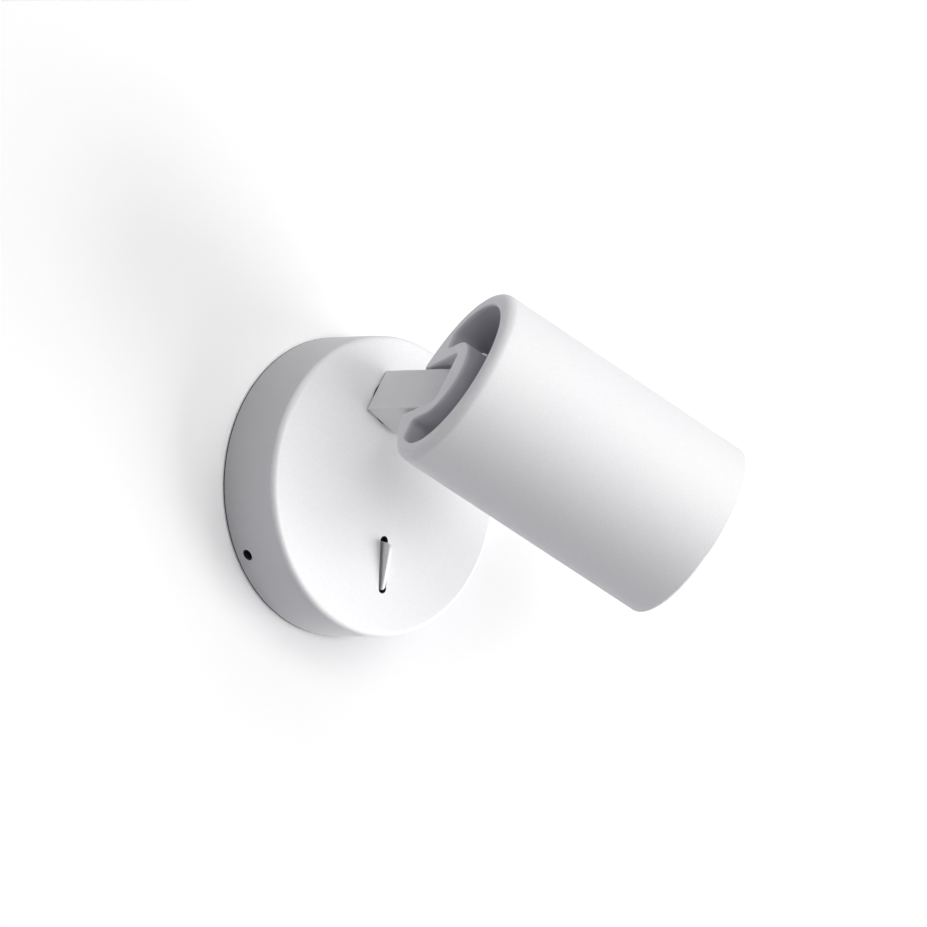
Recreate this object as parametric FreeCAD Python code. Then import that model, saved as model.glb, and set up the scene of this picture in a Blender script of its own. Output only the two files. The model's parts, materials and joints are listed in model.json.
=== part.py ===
"""Pivoting spotlight wall light: round wall cover, square arm, tilting cylinder head.

Millimetres. The origin is the centre of the wall cover on the wall plane, +Z is up
and the room lies on the -Y side.

Three working frames are used. Each piece is modelled in the frame of the body that
carries it, and save() puts it in its place.
  wall frame: x right, y up, z out from the wall, origin at the centre of the cover
  arm frame:  z along the arm, y along the tilt axis, origin on the wall
  head frame: z from the rear face to the front, x towards the open side of the arm
              slot, y along the tilt axis, origin at the centre of the rear face
"""
import FreeCAD, Part
import math
import os

from FreeCAD import Placement, Rotation, Vector

# --- fits -------------------------------------------------------------------
thread_gap = 0.05          # radial, screw in its tapped hole
running_gap = 0.05         # radial, shaft in its bush
hole_gap = 0.15            # radial, screw in its clearance hole
seat_gap = 0.3             # between pieces that sit loosely side by side

# --- pose in which the light is shown ---------------------------------------
swivel_angle = -30.8       # of the arm about the line out of the wall
tilt_angle = 70.2          # of the head away from the line out of the wall

# --- wall cover -------------------------------------------------------------
cover_d = 110.0
cover_depth = 27.5
cover_wall = 1.2
cover_edge_r = 2.0         # outside; the inside follows the sheet
rim_gap = 0.5              # shadow gap between the rim and the wall
grub_screw_angles = (210.0, 330.0)
grub_screw_height = 6.8    # from the wall
grub_screw_r = 2.0
grub_hole_gap = 0.1
grub_screw_recess = 1.6    # socket end below the outside of the cover
grub_boss_r = 4.0
grub_boss_length = 5.0
grub_point_r = 1.2
grub_point_length = 2.0
grub_socket_r = 1.0
grub_socket_depth = 2.2
hook_width = 10.0
hook_lug_height = 3.5
hook_lug_depth = 3.2
hook_lug_from_wall = 4.0

# --- mounting plate ---------------------------------------------------------
plate_thickness = 2.0
plate_edge_gap = 0.4
cable_entry_r = 10.0
wall_screw_spacing = 60.3
wall_slot_r = 2.5
wall_slot_length = 10.0
tab_width = 14.0
tab_height = 13.0
tab_thickness = 2.0
tab_gap = 0.5              # between a tab and the boss that it stands under
tab_hole_r = 1.5
hook_lip_gap = 0.3
hook_lip_thickness = 1.5

# --- small screws -----------------------------------------------------------
m3_r = 1.5
m3_tap_r = 1.25
m3_head_r = 2.7
m3_head_height = 2.0
m4_r = 2.0
m4_head_r = 3.8
m4_head_height = 2.6
driver_slot_width = 0.8
driver_slot_depth = 0.9
screw_tip_gap = 0.3        # screw end above the wall plane

# --- supply terminals -------------------------------------------------------
block_centre = (21.5, -20.0)
block_size = (27.0, 16.0, 13.0)
pole_count = 3
pole_pitch = 9.0
pole_height = 6.0          # centre of the tubes above the plate
tube_r = 2.35
tube_bore_r = 1.6
tube_length = 14.0
clamp_screw_r = 1.4
clamp_screw_offset = 4.5   # from the middle of the tube
clamp_screw_length = 3.4
clamp_screw_recess = 2.6   # below the top of the block
earth_screw_at = (-22.0, 20.0)
earth_washer_r = 4.6
earth_washer_thickness = 1.0

# --- cable clamp ------------------------------------------------------------
clamp_centre = (-22.0, -20.0)
clamp_size = (24.0, 9.0, 7.0)
clamp_arch_r = 3.5
clamp_screw_reach = 8.5    # from the middle of the clamp

# --- switch -----------------------------------------------------------------
switch_drop = 28.6         # centre of the slot below the centre of the cover
switch_slot_width = 3.6
switch_slot_height = 20.9
lever_thickness = 1.5
lever_width = 17.3
lever_rise = 4.87          # outer edge from its axle
lever_root = 1.5           # inner edge from its axle
lever_corner_r = 1.6
lever_edge_r = 0.2
lever_angle = 11.4         # either side of straight out
lever_axle_r = 0.9
lever_axle_reach = 4.2
lever_hub_r = 3.0
axle_below_face = 1.3      # axle centre behind the inside of the cover
housing_size = (13.0, 29.0, 16.0)
housing_well_depth = 7.0
housing_well_gap = 0.4
ear_length = 7.5
ear_width = 11.0
ear_thickness = 2.5
ear_screw_inset = 4.0      # screw from the end of the housing
switch_post_r = 3.0
switch_post_height = 5.5
switch_screw_length = 6.5
switch_post_bore_depth = 4.8
blade_width = 4.8
blade_thickness = 0.8
blade_gap = 1.5            # blade tips above the mounting plate
blade_pitch = 8.0
blade_count = 3

# --- swivel joint -----------------------------------------------------------
swivel_rise = 30.5         # swivel axis above the centre of the cover
stem_r = 5.0
stem_bore_r = 3.5
stem_thread_length = 12.0  # inside the arm
stem_end_height = 15.5     # from the wall
outer_washer_r = 8.4       # almost flush with the sides of the arm
outer_washer_thickness = 1.0
swivel_bush_r = 6.5
swivel_bush_flange_r = 10.0
swivel_bush_flange = 1.5
stop_disc_r = 8.0
stop_disc_thickness = 1.5
stop_tab_reach = 13.5
stop_tab_width = 3.0
stop_pin_r = 1.0
stop_pin_orbit = 12.0
stop_pin_length = 4.5
stop_pin_seat = 0.6
swivel_spring_r = 8.5
swivel_spring_thickness = 1.3
swivel_nut_across = 17.0
swivel_nut_height = 4.0
sleeve_bore_r = 2.8
sleeve_length = 4.0
sleeve_flange_r = 5.6
sleeve_flange = 1.2

# --- arm --------------------------------------------------------------------
arm_width = 17.0
arm_edge_r = 0.4
arm_bore_r = 3.25
pivot_reach = 68.0         # tilt axis from the wall

# --- tilt joint, from the arm outwards --------------------------------------
friction_washer_r = 7.0
friction_washer_thickness = 0.8
tilt_bush_r = 4.2
tilt_bush_flange_r = 6.5
tilt_bush_flange = 1.0
slot_wall = 5.0
tilt_spring_r = 4.2
tilt_spring_thickness = 0.8
shoulder_r = 3.0
shoulder_in_arm = 2.0
tilt_thread_r = 2.5
tilt_thread_length = 2.2
tilt_head_r = 4.2
tilt_head_height = 2.5
tilt_socket_r = 1.5
tilt_socket_depth = 1.5
spot_face_r = 5.0
spot_face_depth = 5.7

# --- head casing ------------------------------------------------------------
head_d = 70.0
head_length = 107.5
head_wall = 2.5
rear_edge_r = 3.4
front_edge_r = 1.5
rear_ring = 6.0            # width of the ring around the vent
tip_gap = 1.0              # arm end to the closed end of its slot
floor_gap = 1.8            # arm end to the floor of its slot
pivot_depth = 13.7         # tilt axis from the rear face
pivot_offset = 12.7        # tilt axis from the centre line of the head
slot_corner_r = 3.0
slot_floor = 2.5
vent_web_centre = 7.7      # of the round end of the web, from the centre line
vent_tip_width = 7.4       # of the vent beside the slot
vent_corner_r = 2.5
rear_lip_r = 0.5
boss_r = 3.5
boss_inset = 3.0           # boss centre inside the bore of the casing
boss_length = 7.5          # past the slot floor
boss_bore_depth = 8.0

# --- inside the head --------------------------------------------------------
grommet_hole_r = 4.0
grommet_at = 13.0          # from the centre line
grommet_bore_r = 2.8
grommet_flange_r = 5.2
grommet_flange = 0.8
bore_gap = 0.3             # discs inside the bore of the casing
baffle_thickness = 1.0
baffle_r = 22.0            # air passes between the baffle and the casing
bracket_width = 14.0
bracket_thickness = 1.5
holder_size = (18.0, 30.0, 14.0)
holder_corner_r = 3.0
holder_screw_reach = 11.0
holder_screw_well_depth = 6.5
holder_screw_well_r = 3.0
pin_reach = 5.0            # lamp pins from the centre line
pin_neck_r = 1.6
pin_head_r = 2.5
pin_head_length = 2.5
pin_length = 7.5
pin_hole_gap = 0.2
pin_hole_depth = 9.0
head_earth_reach = 20.5
lamp_base_r = 13.5
lamp_base_length = 9.5
lamp_front_r = 25.0
lamp_front_length = 6.0
lamp_length = 45.5
lamp_rim = 1.5
lens_thickness = 2.0
lens_gap = 0.1
reflector_depth = 16.0
reflector_root_r = 8.0
led_thickness = 1.0
led_gap = 0.2
front_ring_length = 8.0
front_ring_cover = 1.0     # over the edge of the lamp
front_ring_lip = 1.9       # wall at the mouth of the ring
front_ring_gap = 0.1

# --- places worked out from the sizes ---------------------------------------
cover_r = cover_d / 2
cover_bore_r = cover_r - cover_wall
cover_inside = cover_depth - cover_wall
cover_inner_edge_r = max(cover_edge_r - cover_wall, 0.2)
boss_end_r = cover_bore_r - grub_boss_length
tab_face_r = boss_end_r - tab_gap
block_top = plate_thickness + block_size[2]
tube_centre = plate_thickness + pole_height
clamp_top = plate_thickness + clamp_size[2]
axle_height = cover_inside - axle_below_face
ear_screw_reach = housing_size[1] / 2 + ear_screw_inset
housing_back = cover_inside - housing_size[2]
blade_length = housing_back - plate_thickness - blade_gap
arm_base = cover_depth + outer_washer_thickness
bush_inside = cover_inside - swivel_bush_flange
disc_inside = bush_inside - stop_disc_thickness
spring_inside = disc_inside - swivel_spring_thickness
nut_inside = spring_inside - swivel_nut_height
half_arm = arm_width / 2
slot_half = half_arm + friction_washer_thickness + tilt_bush_flange
web_half = slot_half + slot_wall
tilt_head_face = web_half + tilt_spring_thickness
slot_end = pivot_offset - half_arm - tip_gap
slot_depth = pivot_depth + half_arm + floor_gap
head_r = head_d / 2
casing_bore_r = head_r - head_wall
vent_r = head_r - rear_ring
vent_end = math.sqrt(vent_r ** 2 - (web_half + vent_tip_width) ** 2)
chamber_start = slot_depth + slot_floor
boss_at = casing_bore_r - boss_inset
baffle_seat = chamber_start + boss_length
bracket_seat = baffle_seat + baffle_thickness
holder_seat = bracket_seat + bracket_thickness
lamp_seat = holder_seat + holder_size[2]
lamp_end = lamp_seat + lamp_length
disc_r = casing_bore_r - bore_gap

X = Vector(1, 0, 0)
Y = Vector(0, 1, 0)
Z = Vector(0, 0, 1)

wall_frame = Placement(Vector(), Rotation(X, 90))
arm_frame = wall_frame * Placement(Vector(0, swivel_rise, 0), Rotation(Z, swivel_angle))
tilt_frame = arm_frame * Placement(Vector(0, 0, pivot_reach), Rotation(Y, tilt_angle))
head_frame = tilt_frame * Placement(Vector(-pivot_offset, 0, -pivot_depth), Rotation())
lever_frame = wall_frame * Placement(Vector(0, -switch_drop, axle_height), Rotation(X, lever_angle))


# --- shape helpers ----------------------------------------------------------
def save(name, frame, *solids):
    """Write one node: its solids, moved from their working frame to their place."""
    placed = []
    for solid in solids:
        copy = solid.copy()
        copy.Placement = frame * copy.Placement
        placed.append(copy)
    shape = placed[0] if len(placed) == 1 else Part.makeCompound(placed)
    shape.exportStep("parts/%s.step" % name)


def rod(radius, start, end, x=0.0, y=0.0):
    """Cylinder along z."""
    return Part.makeCylinder(radius, end - start, Vector(x, y, start), Z)


def rod_y(radius, start, end, x=0.0, z=0.0):
    """Cylinder along y."""
    return Part.makeCylinder(radius, end - start, Vector(x, start, z), Y)


def ring(outer_r, inner_r, start, end, x=0.0, y=0.0):
    """Flat ring or tube along z."""
    return rod(outer_r, start, end, x, y).cut(rod(inner_r, start, end, x, y))


def block(x_from, x_to, y_from, y_to, z_from, z_to):
    """Box between two corners."""
    corner = Vector(x_from, y_from, z_from)
    return Part.makeBox(x_to - x_from, y_to - y_from, z_to - z_from, corner)


def centred_block(centre, size, base):
    """Box standing on the height base, centred on a point."""
    half_x = size[0] / 2
    half_y = size[1] / 2
    x, y = centre
    return block(x - half_x, x + half_x, y - half_y, y + half_y, base, base + size[2])


def stadium(radius, length, start, end, x, y, along):
    """Slot with round ends, length over its ends, along the unit vector."""
    reach = length / 2 - radius
    first = Vector(x, y, 0) - along * reach
    last = Vector(x, y, 0) + along * reach
    side = Vector(-along.y, along.x, 0) * radius
    corners = [first + side, last + side, last - side, first - side, first + side]
    middle = Part.Face(Part.makePolygon(corners)).extrude(Z * (end - start))
    middle.translate(Z * start)
    round_ends = [rod(radius, start, end, p.x, p.y) for p in (first, last)]
    return middle.fuse(round_ends).removeSplitter()


def turned(points):
    """Solid of revolution about z, from (radius, height) points of its half section."""
    outline = [Vector(radius, 0, height) for radius, height in points]
    outline.append(outline[0])
    return Part.Face(Part.makePolygon(outline)).revolve(Vector(), Z, 360)


def edges_where(solid, wanted):
    """Edges whose centre of mass passes the test."""
    return [edge for edge in solid.Edges if wanted(edge.CenterOfMass, edge)]


def at_angle(solid, angle):
    """Copy turned about z."""
    copy = solid.copy()
    copy.rotate(Vector(), Z, angle)
    return copy


def mirrored_y(solid):
    """Copy on the other side of the xz plane."""
    return solid.mirror(Vector(), Y)


def pan_screw(radius, head_r, head_height, tip, seat, x, y):
    """Screw along z with its head standing on the height seat."""
    screw = rod(radius, tip, seat, x, y).fuse(rod(head_r, seat, seat + head_height, x, y))
    top = seat + head_height
    half = driver_slot_width / 2
    driver = block(x - head_r, x + head_r, y - half, y + half, top - driver_slot_depth, top)
    return screw.cut(driver)


def m3_screw(tip, seat, x, y, radius=m3_r):
    """M3 pan head screw."""
    return pan_screw(radius, m3_head_r, m3_head_height, tip, seat, x, y)


# --- wall cover and what locks it to the wall -------------------------------
def wall_cover():
    """Deep round cap with the swivel hole, the switch slot and its inner bosses."""
    cap = rod(cover_r, rim_gap, cover_depth)
    front_edge = edges_where(cap, lambda c, e: abs(c.z - cover_depth) < 0.01)
    cap = cap.makeFillet(cover_edge_r, front_edge)
    hollow = rod(cover_bore_r, rim_gap, cover_inside)
    inner_edge = edges_where(hollow, lambda c, e: abs(c.z - cover_inside) < 0.01)
    cap = cap.cut(hollow.makeFillet(cover_inner_edge_r, inner_edge))
    grub_boss = rod(grub_boss_r, boss_end_r, cover_bore_r + cover_wall / 2)
    grub_hole = rod(grub_screw_r + grub_hole_gap, boss_end_r, cover_r)
    for angle in grub_screw_angles:
        cap = cap.fuse(radial(grub_boss, angle))
    for angle in grub_screw_angles:
        cap = cap.cut(radial(grub_hole, angle))
    lug_bottom = cover_bore_r - hook_lug_height
    lug_top = cover_bore_r + cover_wall / 2
    lug = block(-hook_width / 2, hook_width / 2, lug_bottom, lug_top,
                hook_lug_from_wall, hook_lug_from_wall + hook_lug_depth)
    cap = cap.fuse(lug)
    for side in (-1, 1):
        post_y = -switch_drop + side * ear_screw_reach
        post_end = cover_inside - switch_post_height
        cap = cap.fuse(rod(switch_post_r, post_end, cover_inside, 0, post_y))
        cap = cap.cut(rod(m3_tap_r, post_end, post_end + switch_post_bore_depth, 0, post_y))
    cap = cap.cut(rod(swivel_bush_r + running_gap, cover_inside, cover_depth, 0, swivel_rise))
    cap = cap.cut(stadium(switch_slot_width / 2, switch_slot_height, cover_inside, cover_depth,
                          0, -switch_drop, Y))
    pin_y = swivel_rise + stop_pin_orbit
    pin_hole = rod(stop_pin_r, cover_inside, cover_inside + stop_pin_seat, 0, pin_y)
    return cap.cut(pin_hole).removeSplitter()


def radial(solid, angle):
    """Turn a piece modelled along z so that it points outwards at a side screw."""
    copy = solid.copy()
    copy.rotate(Vector(), Y, 90)
    copy.translate(Z * grub_screw_height)
    copy.rotate(Vector(), Z, angle)
    return copy


def grub_screw():
    """Socket set screw with a dog point, along z from the centre of the cover."""
    start = tab_face_r - tab_thickness / 2
    socket_end = cover_r - grub_screw_recess
    body = rod(grub_screw_r, start + grub_point_length, socket_end)
    point = rod(grub_point_r, start, start + grub_point_length)
    socket = rod(grub_socket_r, socket_end - grub_socket_depth, socket_end)
    return body.fuse(point).cut(socket)


def mounting_plate():
    """Steel disc with two lower tabs for the side screws and a hook at the top."""
    plate = rod(cover_bore_r - plate_edge_gap, 0, plate_thickness)
    tab = block(tab_face_r - tab_thickness, tab_face_r, -tab_width / 2, tab_width / 2, 0, tab_height)
    tab_hole = rod(tab_hole_r, tab_face_r - tab_thickness, tab_face_r)
    for angle in grub_screw_angles:
        plate = plate.fuse(at_angle(tab, angle)).cut(radial(tab_hole, angle))
    lip_from = hook_lug_from_wall + hook_lug_depth + hook_lip_gap
    lip_to = lip_from + hook_lip_thickness
    lug_bottom = cover_bore_r - hook_lug_height
    stem_top = lug_bottom - hook_lug_height / 2
    half = hook_width / 2
    stem = block(-half, half, stem_top - hook_lip_thickness, stem_top, 0, lip_to)
    lip = block(-half, half, stem_top - hook_lip_thickness, cover_bore_r - hook_lip_thickness,
                lip_from, lip_to)
    plate = plate.fuse([stem, lip])
    plate = plate.cut(rod(cable_entry_r, 0, plate_thickness))
    for side in (-1, 1):
        plate = plate.cut(stadium(wall_slot_r, wall_slot_length, 0, plate_thickness,
                                  side * wall_screw_spacing / 2, 0, X))
    for x, y in m3_places():
        plate = plate.cut(rod(m3_r + thread_gap, 0, plate_thickness, x, y))
    earth_x, earth_y = earth_screw_at
    return plate.cut(rod(m4_r + thread_gap, 0, plate_thickness, earth_x, earth_y))


def m3_places():
    """Screws that hold the terminal block and the cable clamp to the plate."""
    places = []
    for side in (-1, 1):
        places.append((block_centre[0] + side * pole_pitch / 2, block_centre[1]))
        places.append((clamp_centre[0] + side * clamp_screw_reach, clamp_centre[1]))
    return places


# --- supply terminals -------------------------------------------------------
def pole_xs():
    """Places of the poles across the block."""
    first = block_centre[0] - pole_pitch * (pole_count - 1) / 2
    return [first + pole_pitch * i for i in range(pole_count)]


def clamp_screw_places():
    """Two clamping screws over each tube."""
    return [(x, block_centre[1] + side * clamp_screw_offset) for x in pole_xs() for side in (-1, 1)]


def terminal_block():
    """Insulating block with a bore for each tube and a well for each screw."""
    body = centred_block(block_centre, block_size, plate_thickness)
    y_from = block_centre[1] - block_size[1] / 2
    for x in pole_xs():
        body = body.cut(rod_y(tube_r + running_gap, y_from, y_from + block_size[1], x, tube_centre))
    for x, y in clamp_screw_places():
        body = body.cut(rod(clamp_screw_r + hole_gap, tube_centre, block_top, x, y))
    for side in (-1, 1):
        x = block_centre[0] + side * pole_pitch / 2
        body = body.cut(rod(m3_r + hole_gap, plate_thickness, block_top, x, block_centre[1]))
    return body


def terminal_tubes():
    """Brass tubes that take the wires."""
    tubes = []
    start = block_centre[1] - tube_length / 2
    for x in pole_xs():
        tube = rod_y(tube_r, start, start + tube_length, x, tube_centre)
        tube = tube.cut(rod_y(tube_bore_r, start, start + tube_length, x, tube_centre))
        for side in (-1, 1):
            y = block_centre[1] + side * clamp_screw_offset
            tube = tube.cut(rod(clamp_screw_r + thread_gap, tube_centre, block_top, x, y))
        tubes.append(tube)
    return tubes


def terminal_screws():
    """Headless clamping screws with a driver slot."""
    screws = []
    top = block_top - clamp_screw_recess
    half = driver_slot_width / 2
    for x, y in clamp_screw_places():
        screw = rod(clamp_screw_r, top - clamp_screw_length, top, x, y)
        driver = block(x - clamp_screw_r, x + clamp_screw_r, y - half, y + half,
                       top - driver_slot_depth, top)
        screws.append(screw.cut(driver))
    return screws


def terminal_block_screws():
    """Screws between the poles that hold the block down."""
    xs = [block_centre[0] + side * pole_pitch / 2 for side in (-1, 1)]
    return [m3_screw(screw_tip_gap, block_top, x, block_centre[1]) for x in xs]


def earth_washer():
    """Cup washer under the earth screw."""
    x, y = earth_screw_at
    top = plate_thickness + earth_washer_thickness
    return ring(earth_washer_r, m4_r + hole_gap, plate_thickness, top, x, y)


def earth_screw():
    """M4 screw that clamps the earth wire to the plate."""
    x, y = earth_screw_at
    seat = plate_thickness + earth_washer_thickness
    return pan_screw(m4_r, m4_head_r, m4_head_height, screw_tip_gap, seat, x, y)


def cable_clamp():
    """Saddle that grips the supply cable against the plate."""
    saddle = centred_block(clamp_centre, clamp_size, plate_thickness)
    x, y = clamp_centre
    y_from = y - clamp_size[1] / 2
    saddle = saddle.cut(rod_y(clamp_arch_r, y_from, y_from + clamp_size[1], x, plate_thickness))
    for side in (-1, 1):
        hole_x = x + side * clamp_screw_reach
        saddle = saddle.cut(rod(m3_r + hole_gap, plate_thickness, clamp_top, hole_x, y))
    return saddle


def cable_clamp_screws():
    """Two screws through the saddle."""
    x, y = clamp_centre
    return [m3_screw(screw_tip_gap, clamp_top, x + side * clamp_screw_reach, y) for side in (-1, 1)]


# --- switch -----------------------------------------------------------------
def switch_housing():
    """Closed switch body with a well for the lever and two fixing ears."""
    body = centred_block((0, -switch_drop), housing_size, housing_back)
    half_well = switch_slot_width / 2
    well_reach = lever_width / 2 + lever_rise * math.sin(math.radians(lever_angle)) + housing_well_gap
    ear_top = cover_inside - switch_post_height
    ear_reach = housing_size[1] / 2 + ear_length
    ears = block(-ear_width / 2, ear_width / 2, -switch_drop - ear_reach, -switch_drop + ear_reach,
                 ear_top - ear_thickness, ear_top)
    body = body.fuse(ears)
    body = body.cut(block(-half_well, half_well, -switch_drop - well_reach, -switch_drop + well_reach,
                          cover_inside - housing_well_depth, cover_inside))
    axle_reach = lever_axle_reach + running_gap
    axle_hole = Part.makeCylinder(lever_axle_r + running_gap, 2 * axle_reach,
                                  Vector(-axle_reach, -switch_drop, axle_height), X)
    body = body.cut(axle_hole)
    for side in (-1, 1):
        y = -switch_drop + side * ear_screw_reach
        body = body.cut(rod(m3_tap_r + hole_gap, ear_top - ear_thickness, ear_top, 0, y))
    return body.removeSplitter()


def switch_screws():
    """Screws through the ears into the posts of the cover."""
    seat = cover_inside - switch_post_height - ear_thickness
    screws = []
    for side in (-1, 1):
        screw = m3_screw(-switch_screw_length, 0, 0, 0, m3_tap_r - thread_gap)
        screw.rotate(Vector(), Y, 180)
        screw.translate(Vector(0, -switch_drop + side * ear_screw_reach, seat))
        screws.append(screw)
    return screws


def switch_blades():
    """Flat terminals at the back of the switch."""
    size = (blade_width, blade_thickness, blade_length)
    base = housing_back - blade_length
    first = -switch_drop - blade_pitch * (blade_count - 1) / 2
    return [centred_block((0, first + blade_pitch * i), size, base) for i in range(blade_count)]


def switch_lever():
    """Flat lever with a straight outer edge, on its axle. Its frame is at the axle."""
    half = lever_thickness / 2
    blade = block(-half, half, -lever_width / 2, lever_width / 2, -lever_root, lever_rise)
    corners = edges_where(blade, lambda c, e: abs(c.x) < 0.01 and c.z > 0)
    blade = blade.makeFillet(lever_corner_r, corners)
    rims = edges_where(blade, lambda c, e: abs(abs(c.x) - half) < 0.01 and c.z > 0)
    blade = blade.makeFillet(lever_edge_r, rims)
    hub = Part.makeCylinder(lever_hub_r, lever_thickness, Vector(-half, 0, 0), X)
    axle = Part.makeCylinder(lever_axle_r, 2 * lever_axle_reach, Vector(-lever_axle_reach, 0, 0), X)
    return blade.fuse([hub, axle]).removeSplitter()


# --- swivel joint -----------------------------------------------------------
def swivel_bush():
    """Flanged bush in the face of the cover."""
    bush = rod(swivel_bush_flange_r, bush_inside, cover_inside)
    bush = bush.fuse(rod(swivel_bush_r, cover_inside, cover_depth))
    bush = bush.cut(rod(stem_r + running_gap, bush_inside, cover_depth))
    bush.translate(Y * swivel_rise)
    return bush.removeSplitter()


def stop_pin():
    """Pin that ends the swivel, above the swivel axis."""
    start = cover_inside + stop_pin_seat - stop_pin_length
    return rod(stop_pin_r, start, cover_inside + stop_pin_seat, 0, swivel_rise + stop_pin_orbit)


def outer_washer():
    """Thin washer between the cover and the arm, smaller than the arm."""
    return ring(outer_washer_r, stem_r + running_gap, cover_depth, arm_base, 0, swivel_rise)


def swivel_stem():
    """Hollow threaded stem that carries the arm and passes the cable."""
    return ring(stem_r, stem_bore_r, stem_end_height, arm_base + stem_thread_length)


def stop_disc():
    """Disc keyed to the stem, with a tab that meets the stop pin."""
    disc = rod(stop_disc_r, disc_inside, bush_inside)
    tab = block(0, stop_tab_reach, -stop_tab_width / 2, stop_tab_width / 2, disc_inside, bush_inside)
    return disc.fuse(tab).cut(rod(stem_r + thread_gap, disc_inside, bush_inside)).removeSplitter()


def swivel_spring():
    """Spring washer that sets the swivel friction."""
    return ring(swivel_spring_r, stem_r + thread_gap, spring_inside, disc_inside)


def swivel_nut():
    """Hexagon nut on the stem."""
    corner_r = swivel_nut_across / 2 / math.cos(math.radians(30))
    corners = [Vector(corner_r, 0, nut_inside)]
    for i in range(1, 6):
        angle = math.radians(60 * i)
        corners.append(Vector(corner_r * math.cos(angle), corner_r * math.sin(angle), nut_inside))
    corners.append(corners[0])
    nut = Part.Face(Part.makePolygon(corners)).extrude(Z * swivel_nut_height)
    return nut.cut(rod(stem_r + thread_gap, nut_inside, spring_inside))


def stem_sleeve():
    """Plastic sleeve that keeps the cable off the end of the stem."""
    flange = rod(sleeve_flange_r, stem_end_height - sleeve_flange, stem_end_height)
    barrel = rod(stem_bore_r - running_gap, stem_end_height, stem_end_height + sleeve_length)
    bore = rod(sleeve_bore_r, stem_end_height - sleeve_flange, stem_end_height + sleeve_length)
    return flange.fuse(barrel).cut(bore)


# --- arm and tilt joint -----------------------------------------------------
def arm_bar():
    """Square bar with a round end, bored for the stem and the cable."""
    bar = block(-half_arm, half_arm, -half_arm, half_arm, arm_base, pivot_reach)
    bar = bar.fuse(rod_y(half_arm, -half_arm, half_arm, 0, pivot_reach)).removeSplitter()
    long_edges = edges_where(bar, lambda c, e: abs(abs(c.y) - half_arm) < 0.01 and c.z > arm_base + 1)
    bar = bar.makeFillet(arm_edge_r, long_edges)
    bar = bar.cut(rod(stem_r + thread_gap, arm_base, arm_base + stem_thread_length))
    bar = bar.cut(rod(arm_bore_r, arm_base, pivot_reach))
    mouth = block(-arm_bore_r, half_arm, -arm_bore_r, arm_bore_r,
                  pivot_reach - arm_bore_r, pivot_reach + half_arm)
    bar = bar.cut(mouth)
    shoulder_from = half_arm - shoulder_in_arm
    thread_from = shoulder_from - tilt_thread_length
    hole = rod_y(shoulder_r + thread_gap, shoulder_from, half_arm, 0, pivot_reach)
    hole = hole.fuse(rod_y(tilt_thread_r + thread_gap, thread_from, shoulder_from, 0, pivot_reach))
    return bar.cut([hole, mirrored_y(hole)])


def tilt_screw():
    """Shoulder screw through one wall of the slot into the side of the arm."""
    shoulder_from = half_arm - shoulder_in_arm
    head_end = tilt_head_face + tilt_head_height
    screw = rod_y(tilt_thread_r, shoulder_from - tilt_thread_length, shoulder_from)
    screw = screw.fuse(rod_y(shoulder_r, shoulder_from, tilt_head_face))
    screw = screw.fuse(rod_y(tilt_head_r, tilt_head_face, head_end))
    return screw.cut(rod_y(tilt_socket_r, head_end - tilt_socket_depth, head_end))


def tilt_spring():
    """Spring washer under the head of a shoulder screw."""
    spring = rod_y(tilt_spring_r, web_half, tilt_head_face)
    return spring.cut(rod_y(shoulder_r + running_gap, web_half, tilt_head_face))


def tilt_bush():
    """Bush in one wall of the slot, with its flange towards the arm."""
    flange_from = slot_half - tilt_bush_flange
    bush = rod_y(tilt_bush_flange_r, flange_from, slot_half)
    bush = bush.fuse(rod_y(tilt_bush_r, slot_half, web_half))
    return bush.cut(rod_y(shoulder_r + running_gap, flange_from, web_half))


def friction_washer():
    """Washer between the arm and the flange of a bush."""
    washer = rod_y(friction_washer_r, half_arm, half_arm + friction_washer_thickness)
    hole = rod_y(shoulder_r + running_gap, half_arm, half_arm + friction_washer_thickness)
    return washer.cut(hole)


# --- head casing ------------------------------------------------------------
def vent():
    """Vent around the slot walls, through the rear of the casing."""
    space = rod(vent_r, 0, chamber_start)
    space = space.cut(rod(web_half, 0, chamber_start, vent_web_centre, 0))
    space = space.cut(block(vent_web_centre, head_r, -web_half, web_half, 0, chamber_start))
    space = space.cut(block(vent_end, head_r, -head_r, head_r, 0, chamber_start))
    corners = edges_where(space, lambda c, e: abs(c.x - vent_end) < 0.01 and e.Length > slot_depth)
    return space.makeFillet(vent_corner_r, corners)


def arm_slot():
    """Slot for the arm, open to the rear and to one side."""
    slot = block(slot_end, head_r, -slot_half, slot_half, 0, slot_depth)
    corners = edges_where(slot, lambda c, e: abs(c.x - slot_end) < 0.01 and abs(c.z - slot_depth / 2) < 0.01)
    return slot.makeFillet(slot_corner_r, corners)


def tilt_bores():
    """Bores for the bushes and spot faces for the screw heads."""
    bore = rod_y(tilt_bush_r + thread_gap, slot_half, web_half, pivot_offset, pivot_depth)
    face = rod_y(spot_face_r, web_half, web_half + spot_face_depth, pivot_offset, pivot_depth)
    one_side = bore.fuse(face)
    return [one_side, mirrored_y(one_side)]


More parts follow.
